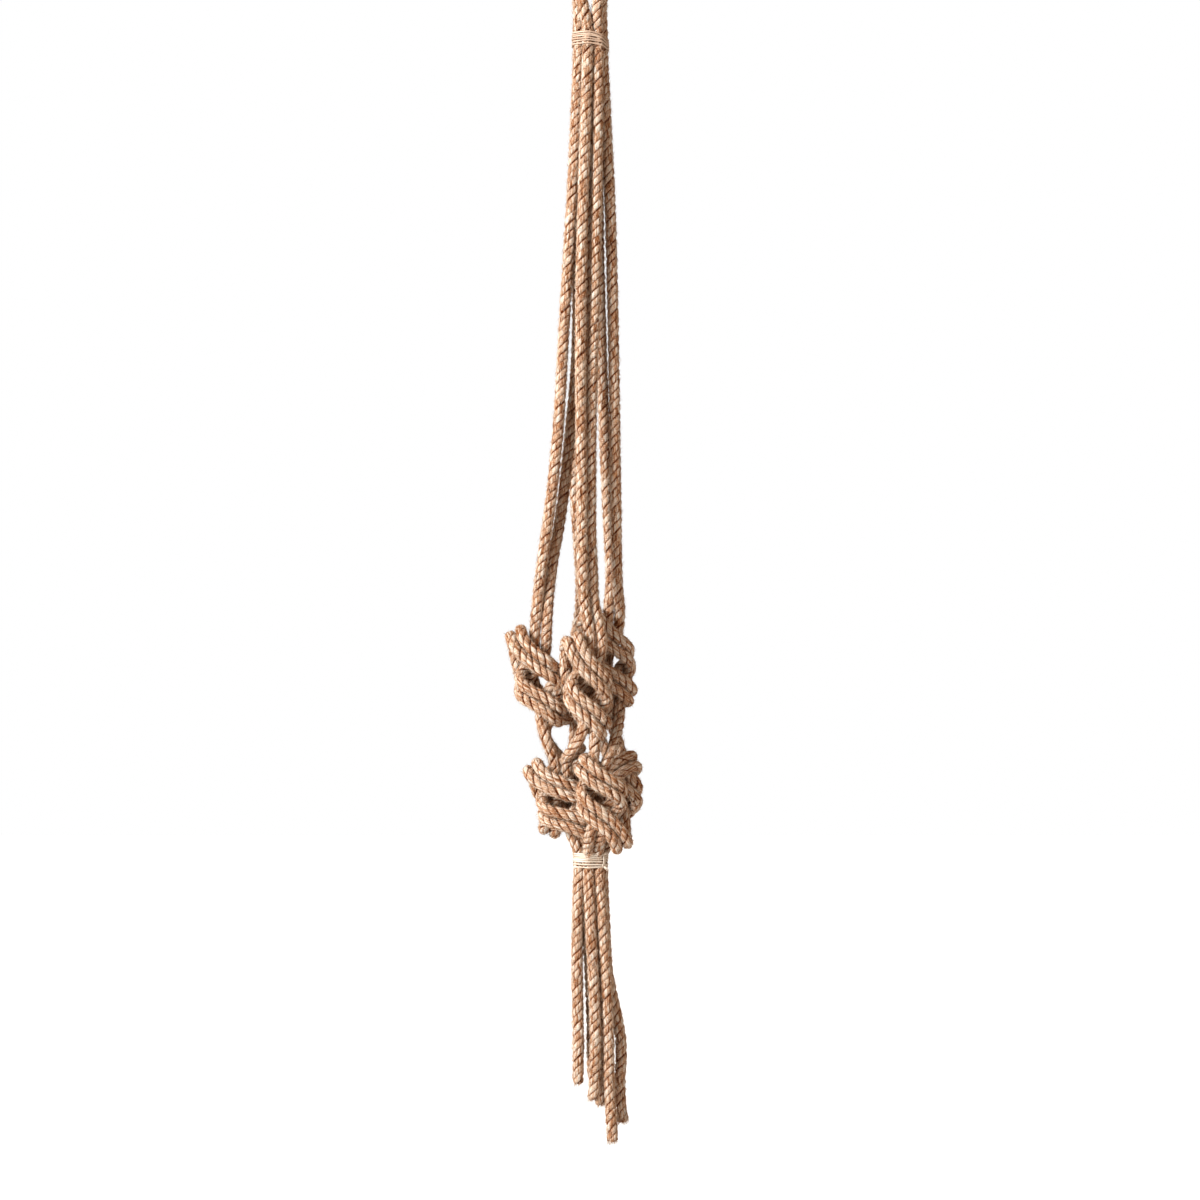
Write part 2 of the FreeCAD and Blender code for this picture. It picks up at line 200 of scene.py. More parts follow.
# From the bottom binding to each tail's end.
TAILS = {
    "front_1": [(1, 0, -860), (3.5, 0.3, -920), (5.5, 0.5, -960), (5, 0.5, -1001)],
    "front_2": [(0.5, -13, -860), (4, -14.5, -920), (5, -14.5, -965), (3, -14, -1010)],
    "left_1": [(-11.4, -7, -855), (-11.6, -7.5, -905), (-10, -7.5, -950), (-10.6, -7.5, -997)],
    "left_2": [(-11, 4.5, -855), (-11.5, 6, -910), (-10, 6.5, -972)],
    "right_1": [
        (10.8, -11, -850), (14, -12, -900), (16.5, -12, -955),
        (16.5, -11.5, -1000), (20, -11, -1047),
    ],
    "right_2": [
        (13, 0.8, -858), (15, 1.2, -903), (24, 1.5, -938),
        (28.5, 1.2, -968), (25, 1, -1003), (29, 0.5, -1032),
    ],
    "back_1": [(-3.2, 13, -860), (1.8, 15.5, -925), (2, 16, -992)],
    "back_2": [(8.5, 11, -860), (11.5, 12.5, -925), (10.5, 12.5, -970), (9, 12, -1019)],
}


def metres(points):
    return [Vector(point) * MM for point in points]


def knot_points(name, side):
    """The route of one rope of the pair through a knot. Side is -1 or 1."""
    middle, turn, lean, width, height, upside_down = KNOTS[name]
    if upside_down:
        lean += 180
    turned = Matrix.Rotation(math.radians(turn), 3, "Z") @ Matrix.Rotation(math.radians(-lean), 3, "Y")
    points = []
    for i, (x, y, z, *faces) in enumerate(KNOT):
        before = Vector(KNOT[max(i - 1, 0)][:3])
        after = Vector(KNOT[min(i + 1, len(KNOT) - 1)][:3])
        across = (after - before).cross(Vector(faces)).normalized()
        local = Vector((x * width, y * KNOT_DEPTH, z * height)) * MM + across * (side * ROPE_SPACING / 2)
        points.append(Vector(middle) * MM + turned @ local)
    return points[:0:-1] if upside_down else points


def bundle_ring(squeeze):
    """The radius on which the seven outer ropes of a bundle lie."""
    return squeeze * ROPE_SPACING / 2 / math.sin(math.pi / OUTER_PLACES)


def bundle_place(place, z, squeeze):
    """The middle of one rope of a bundle of eight, at height z."""
    if place == MIDDLE_PLACE:
        return Vector((0, 0, z))
    angle = math.radians(FIRST_PLACE_ANGLE + place * 360 / OUTER_PLACES)
    ring = bundle_ring(squeeze)
    return Vector((ring * math.cos(angle), ring * math.sin(angle), z))


def half_loop(cord):
    """From the hook down to the top binding."""
    facts = CORDS[cord]
    over_hook = (5.5, 1.0, HOOK_CLEARANCE / MM)
    rows = [over_hook] + HALF_LOOP[abs(facts["on_hook"])]
    points = metres((facts["side"] * x, facts["on_hook"] * share, z) for x, share, z in rows)
    return points + [bundle_place(facts["top_place"], TOP_BINDING_MIDDLE + ABOVE_TOP_BINDING, TOP_SQUEEZE)]


def half_rope(cord):
    """From the hook down into the bottom binding."""
    facts = CORDS[cord]
    below_top = bundle_place(facts["top_place"], TOP_BINDING_MIDDLE - BELOW_TOP_BINDING, TOP_SQUEEZE)
    end = bundle_place(facts["bottom_place"], ROPES_END, BOTTOM_SQUEEZE)
    above = Vector((end.x * GATHER_SPREAD, end.y * GATHER_SPREAD, BOTTOM_BINDING_TOP + GATHER_HEIGHT))
    return (
        half_loop(cord) + [below_top] + metres(LEGS[cord]) + knot_points(*UPPER_KNOTS[cord])
        + metres(LINKS[cord]) + knot_points(*LOWER_KNOTS[cord]) + [above, end]
    )


def rope_route(rope):
    first, second, _ = ROPES[rope]
    return half_rope(first)[::-1] + half_rope(second)


def tail_route(cord):
    """From inside the bottom binding to the tail's end."""
    return [bundle_place(CORDS[cord]["bottom_place"], TAILS_START, BOTTOM_SQUEEZE)] + metres(TAILS[cord])


# ---------------------------------------------------------------- centrelines
STEP = 1.8 * MM               # between the rings of a strand
SPLINE_ORDER = 3
SPLINE_RESOLUTION = 16


def spline_points(name, route):
    """Even points along the smooth spline that has the route as its control points."""
    curve = bpy.data.curves.new(name, "CURVE")
    curve.dimensions = "3D"
    curve.resolution_u = SPLINE_RESOLUTION
    spline = curve.splines.new("NURBS")
    spline.points.add(len(route) - 1)
    for point, place in zip(spline.points, route):
        point.co = (*place, 1)
    spline.order_u = SPLINE_ORDER
    spline.use_endpoint_u = True
    holder = bpy.data.objects.new(name, curve)
    mesh = bpy.data.meshes.new_from_object(holder)
    line = np.array([v.co for v in mesh.vertices])
    bpy.data.objects.remove(holder)
    bpy.data.meshes.remove(mesh)
    along = np.concatenate([[0], np.cumsum(np.linalg.norm(np.diff(line, axis=0), axis=1))])
    count = int(round(along[-1] / STEP))
    even = np.linspace(0, along[-1], count + 1)
    return np.stack([np.interp(even, along, line[:, axis]) for axis in range(3)], axis=1), even


def carried_axes(line):
    """Unit directions along a line and across it, with no twist from point to point."""
    tangents = np.gradient(line, axis=0)
    tangents /= np.linalg.norm(tangents, axis=1)[:, None]
    aside = (0.0, 1.0, 0.0) if abs(tangents[0][1]) < 0.9 else (1.0, 0.0, 0.0)
    normal = np.cross(tangents[0], aside)
    normals = []
    for tangent in tangents:
        normal = normal - tangent * np.dot(normal, tangent)
        normal /= np.linalg.norm(normal)
        normals.append(normal)
    normals = np.array(normals)
    return tangents, normals, np.cross(tangents, normals)


# ---------------------------------------------------------------- rope: three strands twisted to the right
LAY = 23 * MM                 # rope length in which a strand goes once round
STRAND_OFFSET = 2.75 * MM     # from the rope's middle to a strand's
STRAND_DEEP = 2.9 * MM        # half of a strand's size towards the rope's middle
STRAND_WIDE = 3.5 * MM        # and across that
ROPE_EDGE = 5.6 * MM          # strands flatten towards this distance from the rope's middle
EDGE_SHARPNESS = 8            # and how suddenly they do
STRANDS = 3
STRAND_SIDES = 10
FIBRE_TURN = 2 * math.pi / (13 * MM)    # the yarns' own twist in a strand, against the rope's
HAIRS_PER_METRE = 10300
HAIR_WIDTH = 0.3 * MM
HAIR_RISE = 2.6 * MM          # the most that a hair stands off a strand
HAIR_REACH = 8 * MM           # a hair that ends further from the rope's middle is cut to half its length
HAIR_ROOT = 0.15 * MM         # how deep a hair starts in its strand
HAIR_LENGTHS = (0.8, 5.0)     # the shortest and the longest, in millimetres
HAIR_STRAY = 0.25             # how far its direction strays at random
# How much a strand's way round, size and distance from the rope's middle vary, and over what length of rope.
TURN_VARIES = (0.16, 90 * MM)
SIZE_VARIES = (0.035, 22 * MM)
SIZE_VARIES_FINELY = (0.02, 6 * MM)
OFFSET_VARIES = (0.04, 40 * MM)
TIP_SIZE_SQUARED = 0.02       # the square of the share of its size that a strand still has at its cut end
TIP_OFFSET = 0.6              # the share of its distance from the rope's middle that it still has there
SPLAY_LENGTH = 14 * MM        # above the cut end
TUFT_REACH = 8 * MM           # the most that a loose fibre stands off the end of the rope's middle line
TUFT_LENGTHS = (1.5, 6.5)     # the shortest and the longest, in millimetres
TUFT_STRAY = 0.22


def wander(rng, along, wavelength, waves=5):
    """A smooth random wave along a rope, mostly between -1 and 1."""
    total = np.zeros_like(along)
    for _ in range(waves):
        length = wavelength * rng.uniform(0.6, 1.8)
        total += np.sin(2 * np.pi * (along / length + rng.uniform()))
    return total / waves ** 0.5


def varied(rng, along, amount, wavelength):
    """A random wave of the given amount."""
    return amount * wander(rng, along, wavelength)


def strand_rings(rng, line, along, number, lay_start, end):
    """Rings of points round one strand, and for the fibres the same points on a straight, untwisted strand.

    end is None, or the length over which the strand's end rounds off and how far it splays there.
    """
    tangents, normals, sides = carried_axes(line)
    turn = lay_start + 2 * math.pi * (number / STRANDS + along / LAY)
    turn += varied(rng, along, *TURN_VARIES)
    outward = normals * np.cos(turn)[:, None] + sides * np.sin(turn)[:, None]
    sideways = np.cross(tangents, outward)
    swell = 1 + varied(rng, along, *SIZE_VARIES) + varied(rng, along, *SIZE_VARIES_FINELY)
    offset = STRAND_OFFSET * (1 + varied(rng, along, *OFFSET_VARIES))
    close = np.ones_like(along)
    if end:
        rounding, splay = end
        near_end = ((along - along[-1] + rounding) / rounding).clip(0)
        close = np.sqrt(np.clip(1 - near_end ** 2, TIP_SIZE_SQUARED, 1))
        offset *= 1 + splay * (((along - along[-1]) / SPLAY_LENGTH) + 1).clip(0) ** 2
    around = np.linspace(0, 2 * math.pi, STRAND_SIDES, endpoint=False)
    deep = (STRAND_DEEP * swell * close)[:, None] * np.cos(around)
    wide = (STRAND_WIDE * swell * close)[:, None] * np.sin(around)
    middle = line + outward * (offset * (TIP_OFFSET + (1 - TIP_OFFSET) * close))[:, None]
    rings = middle[:, None] + outward[:, None] * deep[..., None] + sideways[:, None] * wide[..., None]
    reach = rings - line[:, None]
    distance = np.linalg.norm(reach, axis=2, keepdims=True)
    flattened = (1 + (distance / ROPE_EDGE) ** EDGE_SHARPNESS) ** (1 / EDGE_SHARPNESS)
    rings = line[:, None] + reach / flattened
    own_turn = around + (FIBRE_TURN * along)[:, None]
    fibre = np.stack([
        STRAND_WIDE * np.cos(own_turn), STRAND_WIDE * np.sin(own_turn),
        np.broadcast_to(along[:, None], own_turn.shape),
    ], axis=-1)
    # crest runs from 0 on a strand's inner side to 1 on its outer side; the jute material paints shade where
    # it is low.
    crest = np.broadcast_to(0.5 + 0.5 * np.cos(around), own_turn.shape)
    return rings, fibre, crest


def tube_faces(rings, sides, start):
    """Quads between the rings of a tube, and one face at each end."""
    ring, side = np.meshgrid(np.arange(rings - 1), np.arange(sides), indexing="ij")
    here = start + ring * sides + side
    beside = start + ring * sides + (side + 1) % sides
    quads = np.stack([here, beside, beside + sides, here + sides], axis=-1).reshape(-1, 4)
    first = [start + i for i in reversed(range(sides))]
    last = [start + (rings - 1) * sides + i for i in range(sides)]
    return quads.tolist() + [first, last]


def spikes(root, away, tip):
    """Four corners of each of many thin spikes, three at the root and one at the tip."""
    across = np.cross(tip - root, away)
    across /= np.linalg.norm(across, axis=1)[:, None] + 1e-9
    half = across * HAIR_WIDTH / 2
    return np.stack([root - half, root + half, root + away * HAIR_WIDTH, tip], axis=1)


def tuft(rng, line, tangents, rings, spread, number_of):
    """The loose fibres of one strand's cut end."""
    at = rng.integers(-5, -1, number_of)
    root = rings[at, rng.integers(0, STRAND_SIDES, number_of)]
    root = rings[at].mean(axis=1) * 0.4 + root * 0.6
    away = rng.normal(0, 1, (number_of, 3))
    away /= np.linalg.norm(away, axis=1)[:, None]
    outward = root - line[at]
    outward /= np.linalg.norm(outward, axis=1)[:, None]
    direction = tangents[-1] + outward * spread + away * TUFT_STRAY
    direction /= np.linalg.norm(direction, axis=1)[:, None]
    tip = root + direction * rng.uniform(*TUFT_LENGTHS, number_of)[:, None] * MM
    reach = tip - line[-1]
    distance = np.linalg.norm(reach, axis=1)[:, None]
    tip = line[-1] + reach * np.minimum(1, TUFT_REACH / distance)
    return spikes(root, away, tip)


def hairs(rng, line, rings, tangents, number_of):
    """Thin spikes that stand off a strand's outer side, mostly along the rope."""
    count, sides = rings.shape[:2]
    at = rng.integers(2, count - 2, number_of)
    side = rng.integers(-sides // 3, sides // 3 + 1, number_of) % sides
    root = rings[at, side]
    strand_middle = rings[at].mean(axis=1)
    away = root - strand_middle
    away /= np.linalg.norm(away, axis=1)[:, None]
    along = tangents[at] * rng.choice([-1, 1], number_of)[:, None]
    lift = rng.uniform(0.1, 1.0, number_of)[:, None] ** 1.5
    direction = along + away * lift + rng.normal(0, HAIR_STRAY, (number_of, 3))
    direction /= np.linalg.norm(direction, axis=1)[:, None]
    length = rng.gamma(3.0, 1.0, number_of).clip(*HAIR_LENGTHS)[:, None] * MM
    rise = (direction * away).sum(axis=1)[:, None] * length
    length *= np.minimum(1, HAIR_RISE / np.maximum(rise, 1e-6))
    tip = root + direction * length
    near = np.clip(at + np.arange(-3, 4)[:, None], 0, count - 1)
    reach = np.linalg.norm(tip - line[near], axis=2).min(axis=0)[:, None]
    tip = np.where(reach > HAIR_REACH, (root + tip) / 2, tip)
    return spikes(root - away * HAIR_ROOT, away, tip)


def add_attribute(mesh, name, kind, values):
    mesh.attributes.new(name, kind, "POINT")
    key = "vector" if kind == "FLOAT_VECTOR" else "value"
    mesh.attributes[name].data.foreach_set(key, np.asarray(values, np.float32).ravel())


def rope_piece(name, seed, line, along, end=None):
    """A mesh of three strands wound along a line, with loose fibres.

    end is None, or the rounding, splay and number of loose fibres of each strand's cut end.
    """
    rng = np.random.default_rng(seed)
    tangents = carried_axes(line)[0]
    lay_start = rng.uniform(0, 2 * math.pi)
    points, fibres, crests, faces, hair_points = [], [], [], [], []
    start = 0
    for number in range(STRANDS):
        rings, fibre, crest = strand_rings(rng, line, along, number, lay_start, end and end[:2])
        faces += tube_faces(len(line), STRAND_SIDES, start)
        start += rings.shape[0] * STRAND_SIDES
        points.append(rings.reshape(-1, 3))
        fibres.append((fibre + (0, 0, 10.0 * number + seed)).reshape(-1, 3))
        crests.append(crest.ravel())
        number_of = int(HAIRS_PER_METRE * along[-1] / STRANDS)
        hair_points.append(hairs(rng, line, rings, tangents, number_of))
        if end:
            hair_points.append(tuft(rng, line, tangents, rings, 2 * end[1], end[2]))
    strand_faces = len(faces)
    hair_points = np.concatenate(hair_points)
    base = start + 4 * np.arange(len(hair_points))[:, None]
    for corners in ((0, 2, 1), (0, 1, 3), (1, 2, 3), (2, 0, 3)):
        faces += (base + corners).tolist()
    points.append(hair_points.reshape(-1, 3))
    hair_values = np.repeat(rng.uniform(0, 1, len(hair_points)), 4)
    fibres.append(np.stack([hair_values, hair_values, hair_values], axis=1))
    crests.append(np.ones(4 * len(hair_points)))

    mesh = bpy.data.meshes.new(name)
    mesh.from_pydata(np.concatenate(points).tolist(), [], faces)
    add_attribute(mesh, "fibre", "FLOAT_VECTOR", np.concatenate(fibres))
    add_attribute(mesh, "crest", "FLOAT", np.concatenate(crests))
    mesh.materials.append(jute)
    mesh.materials.append(fuzz)
    which = np.zeros(len(faces), np.int32)
    which[strand_faces:] = 1
    mesh.polygons.foreach_set("material_index", which)
    mesh.polygons.foreach_set("use_smooth", np.ones(len(faces), bool))
    piece = bpy.data.objects.new(name, mesh)
    bpy.context.collection.objects.link(piece)
    return piece


# ---------------------------------------------------------------- materials
def new_material(name, roughness, specular=0.25):
    material = bpy.data.materials.new(name)
    material.use_nodes = True
    shader = material.node_tree.nodes["Principled BSDF"]
    shader.inputs["Roughness"].default_value = roughness
    shader.inputs["Specular IOR Level"].default_value = specular
    return material, material.node_tree.nodes, material.node_tree.links, shader


def ramp(nodes, stops):
    node = nodes.new("ShaderNodeValToRGB")
    elements = node.color_ramp.elements
    while len(elements) < len(stops):
        elements.new(0.5)
    for element, (position, colour) in zip(elements, stops):
        element.position = position
        element.color = (*colour, 1)
    return node


def noise(nodes, links, vector, scale, detail=2.0, roughness=0.5):
    """A noise texture stretched by scale along the three axes of a vector."""
    stretch = nodes.new("ShaderNodeMapping")
    stretch.inputs["Scale"].default_value = scale
    links.new(vector, stretch.inputs["Vector"])
    texture = nodes.new("ShaderNodeTexNoise")
    texture.inputs["Scale"].default_value = 1.0
    texture.inputs["Detail"].default_value = detail
    texture.inputs["Roughness"].default_value = roughness
    links.new(stretch.outputs["Vector"], texture.inputs["Vector"])
    return texture.outputs["Fac"]


def math_node(nodes, links, operation, first, second):
    node = nodes.new("ShaderNodeMath")
    node.operation = operation
    for socket, value in zip(node.inputs, (first, second)):
        if isinstance(value, (int, float)):
            socket.default_value = value
        else:
            links.new(value, socket)
    return node.outputs[0]


def mixed(nodes, links, factor, first, second, blend="MIX"):
    node = nodes.new("ShaderNodeMix")
    node.data_type = "RGBA"
    node.blend_type = blend
    for key, value in (("Factor", factor), ("A", first), ("B", second)):
        socket = node.inputs[key]
        if isinstance(value, (int, float)):
            socket.default_value = value
        elif isinstance(value, tuple):
            socket.default_value = (*value, 1)
        else:
            links.new(value, socket)
    return node.outputs["Result"]


def attribute(nodes, name, output):
    node = nodes.new("ShaderNodeAttribute")
    node.attribute_type = "GEOMETRY"
    node.attribute_name = name
    return node.outputs[output]


def bumped(nodes, links, shader, height, strength, distance):
    bump = nodes.new("ShaderNodeBump")
    bump.inputs["Strength"].default_value = strength
    bump.inputs["Distance"].default_value = distance
    links.new(height, bump.inputs["Height"])
    links.new(bump.outputs["Normal"], shader.inputs["Normal"])


WHITE = (1.0, 1.0, 1.0)
BLACK = (0.0, 0.0, 0.0)
FLECK_COLOUR = (0.12, 0.04, 0.015)
YARN_WEIGHT = 0.36            # how much each kind of mark counts in the jute's tone
HAIR_WEIGHT = 0.42
PATCH_WEIGHT = 0.22
YARN_HEIGHT = 1.2             # of the yarns in the relief, against the fine fibres' 1


def jute_material():
    """Jute with fine fibres, patches and flecks, and painted shade in the grooves between its strands and in
    the gaps between its yarns.
    """
    material, nodes, links, shader = new_material("jute_rope", 0.85, specular=0.1)
    fibre = attribute(nodes, "fibre", "Vector")
    crest = attribute(nodes, "crest", "Fac")
    yarn = noise(nodes, links, fibre, (560, 560, 30), 1.0)
    hair = noise(nodes, links, fibre, (1500, 1500, 240), 3.0, 0.65)
    patch = noise(nodes, links, fibre, (240, 240, 60), 2.0)
    fleck = noise(nodes, links, fibre, (700, 700, 170), 1.0)
    mix = math_node(nodes, links, "MULTIPLY", yarn, YARN_WEIGHT)
    mix = math_node(nodes, links, "ADD", mix, math_node(nodes, links, "MULTIPLY", hair, HAIR_WEIGHT))
    mix = math_node(nodes, links, "ADD", mix, math_node(nodes, links, "MULTIPLY", patch, PATCH_WEIGHT))
    tone = ramp(nodes, [
        (0.38, (0.13, 0.035, 0.01)), (0.45, (0.38, 0.15, 0.055)),
        (0.50, (0.74, 0.49, 0.32)), (0.57, (0.76, 0.67, 0.57)),
    ])
    links.new(mix, tone.inputs["Fac"])
    dark = ramp(nodes, [(0.0, BLACK), (0.64, BLACK), (0.70, WHITE)])
    links.new(fleck, dark.inputs["Fac"])
    colour = mixed(nodes, links, dark.outputs["Color"], tone.outputs["Color"], FLECK_COLOUR)
    # Painted shade: the strands' inner sides, in the grooves between strands, are darkened and reddened by
    # crest.
    painted_groove_shade = ramp(nodes, [(0.42, (0.34, 0.13, 0.05)), (0.51, (0.82, 0.66, 0.55)), (0.60, WHITE)])
    links.new(crest, painted_groove_shade.inputs["Fac"])
    colour = mixed(nodes, links, 1.0, colour, painted_groove_shade.outputs["Color"], "MULTIPLY")
    # Painted shade: a thin dark reddish line where the yarn noise is near its middle, for the shade in the
    # gaps between yarns.
    painted_yarn_gap_shade = ramp(nodes, [(0.46, WHITE), (0.495, (0.42, 0.22, 0.13)), (0.53, WHITE)])
    links.new(yarn, painted_yarn_gap_shade.inputs["Fac"])
    colour = mixed(nodes, links, 1.0, colour, painted_yarn_gap_shade.outputs["Color"], "MULTIPLY")
    links.new(colour, shader.inputs["Base Color"])
    height = math_node(nodes, links, "ADD", math_node(nodes, links, "MULTIPLY", yarn, YARN_HEIGHT), hair)
    bumped(nodes, links, shader, height, 1.0, 0.7 * MM)
    return material


def fuzz_material():
    material, nodes, links, shader = new_material("jute_fibres", 0.7)
    tone = ramp(nodes, [
        (0.0, (0.28, 0.11, 0.04)), (0.45, (0.66, 0.42, 0.26)), (1.0, (0.86, 0.72, 0.58)),
    ])
    links.new(attribute(nodes, "fibre", "Fac"), tone.inputs["Fac"])
    links.new(tone.outputs["Color"], shader.inputs["Base Color"])
    return material


jute = jute_material()
fuzz = fuzz_material()


# ---------------------------------------------------------------- the four ropes
for seed, (rope, (first, second, length)) in enumerate(ROPES.items(), start=1):
    line, along = spline_points(rope, rope_route(rope))
    piece = rope_piece(rope, seed, line, along)
    parts = [f"{rope}_loop"]
    for cord in (first, second):
        parts += [f"{cord}_{part}" for part in ("leg", "upper_knot", "link", "lower_knot", "gather")]
    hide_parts(*parts)
    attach(piece, "ropes")

# ---------------------------------------------------------------- the eight tails
# Each tail's length in metres, and the rounding, splay and number of loose fibres of its strands' ends.
TAIL_ENDS = {
    "front_1": (0.202, (4 * MM, 0.1, 60)),
    "front_2": (0.211, (4 * MM, 0.25, 110)),
    "left_1": (0.198, (5 * MM, 0.0, 50)),
    "right_1": (0.248, (1.5 * MM, 0.08, 110)),
    "left_2": (0.173, (4 * MM, 0.1, 60)),
    "back_2": (0.220, (4 * MM, 0.1, 80)),
    "back_1": (0.193, (4 * MM, 0.1, 60)),
    "right_2": (0.235, (4 * MM, 0.35, 160)),
}
for seed, (cord, (length, end)) in enumerate(TAIL_ENDS.items(), start=11):
    line, along = spline_points(f"{cord}_tail", tail_route(cord))
    piece = rope_piece(f"{cord}_tail_rope", seed, line, along, end)
    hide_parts(f"{cord}_tail")
    if CORDS[cord]["bottom_place"] == MIDDLE_PLACE:
        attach(piece, "ropes")
    else:
        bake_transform(piece)


# ---------------------------------------------------------------- raffia bindings
TWINE_THICK = 0.85 * MM
TWINE_SIDES = 10
TWINE_WIDTH = 1.35            # millimetres, as the next four are
TWINE_WIDTH_VARIES = 0.22
TUCK_WIDTH = 1.8
FRAY_WIDTH = 1.1
FRAY_NARROWS = 0.75           # from a frayed end's root to its tip
FRAYS = 5                     # at each of the two ends
SHORT_STRIP_POINTS = 15
TURN_STEP = 4                 # degrees from point to point of a turn
LIFT = 0.3 * MM               # of every second turn, which lies over its neighbours' edges
SMOOTHED_OVER = 9             # points of a turn
# Heights in millimetres of each turn at the left and at the right of the bundle.
TOP_TURNS = [(-74.0, -79.6), (-75.7, -83.4), (-77.4, -81.6), (-79.5, -85.6), (-81.7, -84.4), (-84.2, -87.6)]
BOTTOM_TURNS = [
    (-794.5, -793.4), (-796.1, -795.3), (-797.8, -797.0), (-799.4, -798.8),
    (-801.0, -801.6), (-803.4, -804.4), (-806.1, -805.2),
]


def hull_radius(angles, squeeze):
    """How far the outline round a bundle of eight ropes lies from its middle."""
    places = np.radians(FIRST_PLACE_ANGLE + np.arange(OUTER_PLACES) * 360 / OUTER_PLACES)
    ways = np.radians(np.arange(0, 360, 2))
    support = (bundle_ring(squeeze) * np.cos(ways[:, None] - places)).max(axis=1) + ROPE_DIAMETER / 2
    facing = np.cos(np.asarray(angles)[..., None] - ways)
    return np.where(facing > 0.2, support / facing.clip(0.2), np.inf).min(axis=-1)


def ribbon(points, away, widths, thickness, start, value):
    """Rings, fibre values and faces of one flat strip of raffia that lies along points and faces away."""
    tangents = np.gradient(points, axis=0)
    tangents /= np.linalg.norm(tangents, axis=1)[:, None]
    across = np.cross(tangents, away)
    across /= np.linalg.norm(across, axis=1)[:, None]
    facing = np.cross(across, tangents)
    around = np.linspace(0, 2 * math.pi, TWINE_SIDES, endpoint=False)
    wide = (widths / 2)[:, None] * np.cos(around)
    thick = (np.minimum(widths, thickness) / 2)[:, None] * np.sin(around)
    rings = points[:, None] + across[:, None] * wide[..., None] + facing[:, None] * thick[..., None]
    along = np.concatenate([[0], np.cumsum(np.linalg.norm(np.diff(points, axis=0), axis=1))])
    fibre = np.stack([wide, thick, np.broadcast_to(along[:, None] + value, wide.shape)], axis=-1)
    return rings.reshape(-1, 3), fibre.reshape(-1, 3), tube_faces(len(points), TWINE_SIDES, start)


def wound_strip(turns, squeeze):
    """The route of the twine round the bundle, and the way that it faces."""
    angles, heights, lifts = [], [], []
    for i, (left, right) in enumerate(turns):
        after = turns[min(i + 1, len(turns) - 1)][0]
        keys = [-180, -75, -20, 20, 110, 180]
        values = [left, left + 0.12 * (right - left), right, right, (right + after) / 2, after]
        here = np.arange(-180, 180, TURN_STEP)
        angles.append(np.radians(here))
        heights.append(np.interp(here, keys, values))
        lifts.append(np.full(len(here), LIFT * (i % 2)))
    angles, heights, lifts = (np.concatenate(v) for v in (angles, heights, lifts))
    padded = np.pad(heights, SMOOTHED_OVER // 2, mode="edge")
    smooth = np.convolve(padded, np.ones(SMOOTHED_OVER) / SMOOTHED_OVER, mode="valid") * MM
    away = np.stack([np.cos(angles), np.sin(angles), np.zeros_like(angles)], axis=1)
    radius = hull_radius(angles, squeeze) + TWINE_THICK * 0.45 + lifts
    flat = np.zeros_like(smooth)
    return away * radius[:, None] + np.stack([flat, flat, smooth], axis=1), away


def tuck_strips(out, side, radius, top, bottom):
    """The two strips of the knot that run down over the turns."""
    share = np.linspace(0, 1, SHORT_STRIP_POINTS)
    facing = np.tile(out, (SHORT_STRIP_POINTS, 1))
    strips = []
    for shift in (-0.8, 0.7):
        rise = radius + (0.6 + 1.5 * np.sin(math.pi * share)) * MM
        route = out * rise[:, None] + side * ((shift + 0.5 * np.sin(5 * share)) * MM)[:, None]
        route[:, 2] = top + (bottom - top) * share
        strips.append((route, facing, np.full(SHORT_STRIP_POINTS, TUCK_WIDTH * MM)))
    return strips


def frayed_strips(rng, out, side, radius, top, bottom):
    """The fibres of the twine's two ends, one above the turns and one below."""
    share = np.linspace(0, 1, SHORT_STRIP_POINTS)
    facing = np.tile(side, (SHORT_STRIP_POINTS, 1))
    strips = []
    for level, slope in ((top, 0.75), (bottom, -0.8)):
        for _ in range(FRAYS):
            way = out * rng.uniform(0.6, 0.95) + side * rng.uniform(-0.1, 0.55)
            way[2] = slope * rng.uniform(0.2, 0.9)
            start = out * (radius + 0.8 * MM) + np.array([0, 0, level - slope * 1.5 * MM])
            length = rng.uniform(3.5, 6.5) * MM
            route = start + way * (share * length)[:, None]
            route += side * (0.8 * MM * share ** 2 * rng.uniform(-1, 1))[:, None]
            strips.append((route, facing, (FRAY_WIDTH - FRAY_NARROWS * share) * MM))
    return strips


def binding_piece(name, seed, turns, squeeze, knot_angle, material):
    """Flat raffia wound round the bundle, with a knot and two frayed ends at one side."""
    rng = np.random.default_rng(seed)
    points, away = wound_strip(turns, squeeze)
    along = np.linspace(0, len(turns) * 0.1, len(points))
    widths = (TWINE_WIDTH + varied(rng, along, TWINE_WIDTH_VARIES, 30 * MM)) * MM
    angle = math.radians(knot_angle)
    out = np.array([math.cos(angle), math.sin(angle), 0.0])
    side = np.array([-math.sin(angle), math.cos(angle), 0.0])
    radius = float(hull_radius([angle], squeeze)[0])
    top = turns[0][0] * MM + 0.5 * MM
    bottom = turns[-1][0] * MM - 0.5 * MM
    strips = [(points, away, widths)]
    strips += tuck_strips(out, side, radius, top, bottom)
    strips += frayed_strips(rng, out, side, radius, top, bottom)
    vertices, fibres, faces = [], [], []
    start = 0
    for number, (route, away, widths) in enumerate(strips):
        rings, fibre, quads = ribbon(route, away, widths, TWINE_THICK, start, 0.37 * number)
        start += len(rings)
        vertices.append(rings)
        fibres.append(fibre)
        faces += quads
    mesh = bpy.data.meshes.new(name)
    mesh.from_pydata(np.concatenate(vertices).tolist(), [], faces)
    add_attribute(mesh, "fibre", "FLOAT_VECTOR", np.concatenate(fibres))
    mesh.materials.append(material)
    mesh.polygons.foreach_set("use_smooth", np.ones(len(faces), bool))
    piece = bpy.data.objects.new(f"{name}_twine", mesh)
    bpy.context.collection.objects.link(piece)
    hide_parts(name)
    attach(piece, "ropes")


